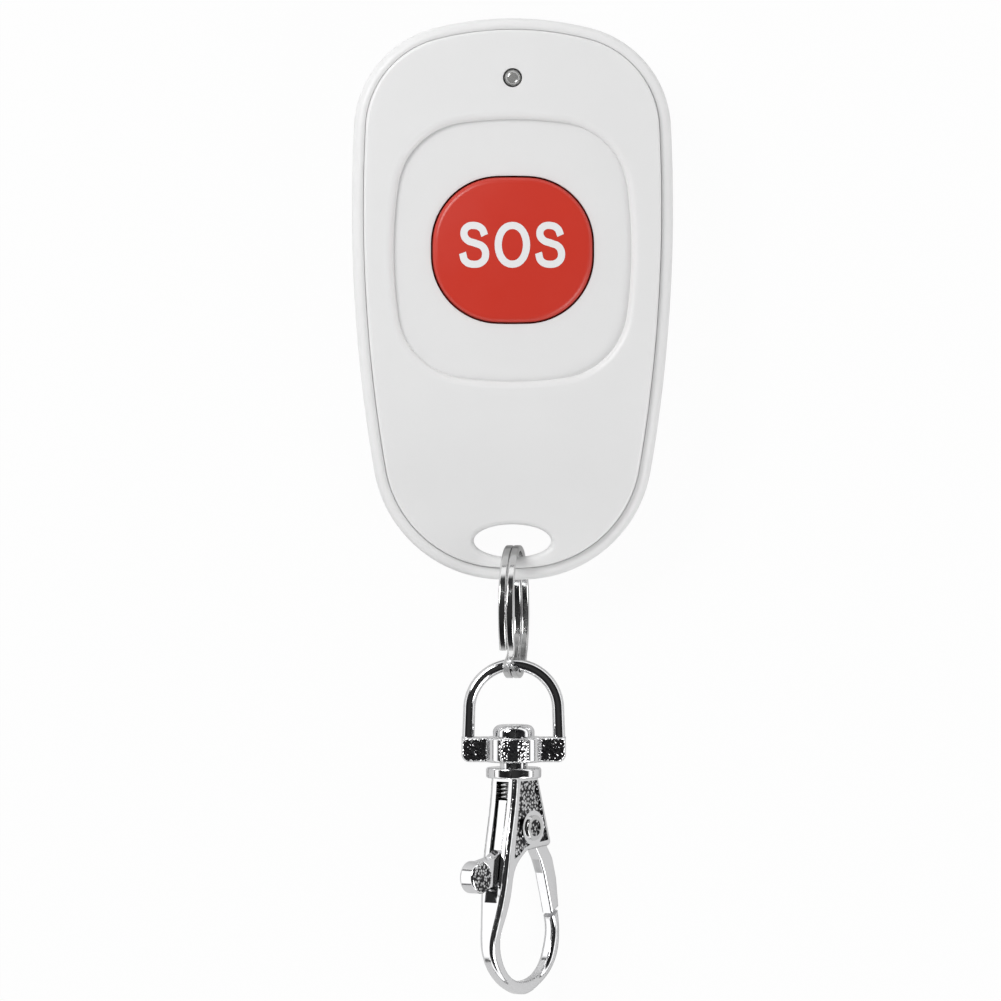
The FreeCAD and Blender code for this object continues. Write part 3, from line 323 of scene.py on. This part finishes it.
# Status light
# A small light chip on the board, and over it a clear acrylic light pipe that looks out of the plate.
lens = Finish(bpy.data.materials.new("clear_acrylic"))
lens.surface(Base_Color=(0.78, 0.78, 0.76, 1), Transmission_Weight=0.65, IOR=1.49, Coat_Weight=1.0,
             Coat_IOR=2.6, Coat_Roughness=0.06, Roughness=0.16 + 0.1 * lens.noise(lens.place(), 900.0))
wear_finish("led_lens", lens.owner)
phosphor = moulded("phosphor", (0.72, 0.70, 0.45, 1), (0.76, 0.74, 0.5, 1), 0.4)
wear_finish("status_led", phosphor)

# Split ring
# Two turns of flat spring steel wire, barrel polished and nickel plated.
ring_nickel = metal("ring_nickel", (0.70, 0.70, 0.70, 1), 0.10, wave=0.000003, wave_scale=900.0)
wear_finish("split_ring", ring_nickel)

# Swivel bow, snap hook and latch
# Zinc castings with bright chrome plating. The plating follows the casting's slight waves, so that its
# reflections break up. The hook's sunk cheeks, the knob's end, the rivet's dimple and the flats and barrel
# of the bow's crossbar keep a pebbled ground, whose valleys are darkened with painted shade.
latch_joint = next(joint for joint in frame["joints"] if joint["name"] == "latch_open")
swivel_joint = next(joint for joint in frame["joints"] if joint["name"] == "hook_swivel")
pin_point = Vector(latch_joint["pos_m"])
pin_line = Vector(latch_joint["axis"]).normalized()
swivel_line = Vector(swivel_joint["axis"]).normalized()
bow_point = Vector(swivel_joint["pos_m"])
bow_face_line = Vector((0.0, -swivel_line.z, swivel_line.y))
crossbar_ground = 0.00125
crossbar_top = 0.0015
barrel_ground = 0.0030
crossbar_pebble_height = 0.00011
cheek_ground = 0.00163
cheek_foot = -0.0034
knob_end = 0.001
dimple_radius = 0.00096
ground_slack = 0.00006
panel_slack = 0.00005
knob_slack = 0.00002
pebble_size = 0.00034
pebble_height = 0.00008


def along(finish, where, point, line):
    """How far a place on the piece lies from a point, along a line."""
    reach = finish.node("ShaderNodeVectorMath", {"operation": "DOT_PRODUCT"}, {0: where, 1: line}, 1)
    return reach - point.dot(line)


def pebbled(finish, where, below, tone, share, dark, height=pebble_height):
    """A pebbled ground over part of a casting: raised grains, with painted shade darkening the valleys
    between them.
    """
    cells = finish.node("ShaderNodeTexVoronoi", {"feature": "F1"},
                        {"Vector": where, "Scale": 1.0 / pebble_size, "Randomness": 0.9}, 0)
    # The valley ramp is painted shade: it takes the metal's colour towards near black in the hollows between
    # grains.
    valley_shade = finish.node("ShaderNodeValToRGB", {"stops": [
        (0.0, (0.0, 0.0, 0.0, 1)), (0.30, (0.05, 0.05, 0.05, 1)), (0.58, (1.0, 1.0, 1.0, 1))]}, {0: cells})
    skin = finish.bump((1.0 - cells) * share, height, below)
    # Blend in the painted shade; dark sets how deep it goes on each part.
    return skin, finish.blend(valley_shade * share * dark, tone, (0.03, 0.03, 0.032, 1))


def size_of(finish, reach):
    return finish.node("ShaderNodeMath", {"operation": "ABSOLUTE"}, {0: reach})


def cheek_pebbles(finish, where, below, tone):
    depth = size_of(finish, along(finish, where, pin_point, pin_line))
    near = (depth > cheek_ground - ground_slack) * (1.0 - (depth > cheek_ground + panel_slack))
    upper = along(finish, where, pin_point, swivel_line) > cheek_foot
    return pebbled(finish, where, below, tone, near * upper, 1.0)


def knob_pebbles(finish, where, below, tone):
    depth = size_of(finish, along(finish, where, pin_point, pin_line))
    return pebbled(finish, where, below, tone, depth > knob_end - knob_slack, 1.2)


def pin_pebbles(finish, where, below, tone):
    from_pin = finish.node("ShaderNodeVectorMath", {"operation": "SUBTRACT"}, {0: where, 1: pin_point})
    square = finish.node("ShaderNodeVectorMath", {"operation": "CROSS_PRODUCT"}, {0: from_pin, 1: pin_line})
    radius = finish.node("ShaderNodeVectorMath", {"operation": "LENGTH"}, {0: square}, 1)
    return pebbled(finish, where, below, tone, 1.0 - (radius > dimple_radius), 1.2)


def cast_skin(finish, where, below, tone):
    depth = size_of(finish, along(finish, where, bow_point, bow_face_line))
    bar = (depth > crossbar_ground) * (1.0 - (depth > crossbar_top))
    barrel = depth > barrel_ground
    return pebbled(finish, where, below, tone, bar + barrel * 0.75, 0.4, crossbar_pebble_height)


chrome = (0.86, 0.86, 0.87, 1)
bow_chrome = metal("bow_chrome", chrome, 0.07, wave=0.00001, wave_scale=420.0, scratch=0.05, ground=cast_skin)
hook_chrome = metal("hook_chrome", chrome, 0.07, wave=0.000012, wave_scale=380.0, scratch=0.05,
                    ground=cheek_pebbles)
latch_chrome = metal("latch_chrome", chrome, 0.07, wave=0.00001, wave_scale=420.0, scratch=0.05,
                     ground=knob_pebbles)
wear_finish("swivel_bow", bow_chrome)
wear_finish("hook_body", hook_chrome)
wear_finish("latch_lever", latch_chrome)

# Hinge pin and latch spring
# A turned steel pin, spread over both cheeks, and a small coil of drawn wire in the hook's channel.
pin_steel = metal("pin_steel", (0.72, 0.72, 0.72, 1), 0.14, ground=pin_pebbles)
drawn_wire = metal("drawn_wire", (0.60, 0.60, 0.60, 1), 0.3)
wear_finish("hinge_rivet", pin_steel)
wear_finish("latch_spring", drawn_wire)
giving_way("latch_spring", "coil_spring")

# Studio floor
# A matt white sweep. To the camera it is lifted a little, so that it reads as plain white around the
# soft shadow of the part.
bpy.ops.mesh.primitive_plane_add(size=4.0, location=(0.0, -0.02, -0.00002))
floor = bpy.context.object
floor.name = "studio_floor"
sweep = Finish(bpy.data.materials.new("white_sweep"))
seen = sweep.node("ShaderNodeLightPath", output="Is Camera Ray")
grain = sweep.noise(sweep.place(), 40.0)
sweep.surface(Base_Color=sweep.blend(grain, (0.68, 0.68, 0.68, 1), (0.70, 0.70, 0.70, 1)), Roughness=0.9)
glow = sweep.node("ShaderNodeEmission", None, {"Color": (1, 1, 1, 1), "Strength": 1.0})
matt = Signal(sweep, sweep.tree.nodes["Principled BSDF"].outputs[0])
both = sweep.node("ShaderNodeMixShader", None, {0: seen * 0.96, 1: matt, 2: glow})
sweep.tree.links.new(both.socket, sweep.tree.nodes["Material Output"].inputs["Surface"])
floor.data.materials.append(sweep.owner)

# Studio light
# An even white room for the plastics. To polished metal the room is dark overhead, where the camera
# hangs, and bright low down, which gives chrome its bands.
world = bpy.data.worlds.new("studio")
bpy.context.scene.world = world
room = Finish(world)
room.tree.nodes.clear()
direction = room.node("ShaderNodeTexCoord", output="Generated")
height = room.node("ShaderNodeSeparateXYZ", None, {0: direction}, 2)
bands = room.node("ShaderNodeValToRGB", {"stops": [
    (0.0, (0.06, 0.06, 0.06, 1)), (0.05, (0.06, 0.06, 0.06, 1)), (0.10, (1.0, 1.0, 1.0, 1)),
    (0.33, (1.0, 1.0, 1.0, 1)), (0.46, (0.02, 0.02, 0.021, 1)), (0.84, (0.008, 0.008, 0.009, 1)),
    (1.0, (0.03, 0.03, 0.03, 1))]}, {0: height})
falling = room.node("ShaderNodeValToRGB", {"stops": [
    (0.0, (0.92, 0.92, 0.92, 1)), (0.3, (0.78, 0.78, 0.78, 1)), (0.65, (0.42, 0.42, 0.42, 1)),
    (1.0, (0.30, 0.30, 0.30, 1))]}, {0: height})
glossy = room.node("ShaderNodeLightPath", output="Is Glossy Ray")
even = room.node("ShaderNodeBackground", None, {"Color": falling, "Strength": 0.94})
banded = room.node("ShaderNodeBackground", None, {"Color": bands, "Strength": 1.25})
camera_white = room.node("ShaderNodeBackground", None, {"Color": (1, 1, 1, 1), "Strength": 1.0})
mixed = room.node("ShaderNodeMixShader", None, {0: glossy, 1: even, 2: banded})
from_camera = room.node("ShaderNodeLightPath", output="Is Camera Ray")
shown = room.node("ShaderNodeMixShader", None, {0: from_camera, 1: mixed, 2: camera_white})
last = room.tree.nodes.new("ShaderNodeOutputWorld")
room.tree.links.new(shown.socket, last.inputs["Surface"])


def softbox(name, at, aim, width, height, power):
    """A rectangular lamp at a place, turned to face another."""
    lamp = bpy.data.lights.new(name, "AREA")
    lamp.shape = "RECTANGLE"
    lamp.size = width
    lamp.size_y = height
    lamp.energy = power
    made = bpy.data.objects.new(name, lamp)
    bpy.context.scene.collection.objects.link(made)
    made.location = at
    made.rotation_euler = (Vector(aim) - Vector(at)).to_track_quat("-Z", "Y").to_euler()


middle = (0.0, -0.02, 0.005)
softbox("key", (-0.55, 0.45, 0.70), middle, 0.55, 0.35, 5.8)
softbox("fill", (0.62, -0.50, 0.58), middle, 0.5, 0.5, 3.3)

# Camera
# Straight above the face, on a long lens. The face's mean height is at the photograph's scale.
camera_data = bpy.data.cameras.new("camera")
camera_data.sensor_width = 36.0
camera_height = 1.0
face_height = 0.012
pixel_pitch = 0.0001145
pixels_across = 1001
frame_width = pixel_pitch * pixels_across
camera_data.lens = camera_data.sensor_width * (camera_height - face_height) / frame_width
camera = bpy.data.objects.new("camera", camera_data)
bpy.context.scene.collection.objects.link(camera)
camera.location = (-0.001374, -0.02307, camera_height)
bpy.context.scene.camera = camera
bpy.context.scene.view_settings.view_transform = "Standard"
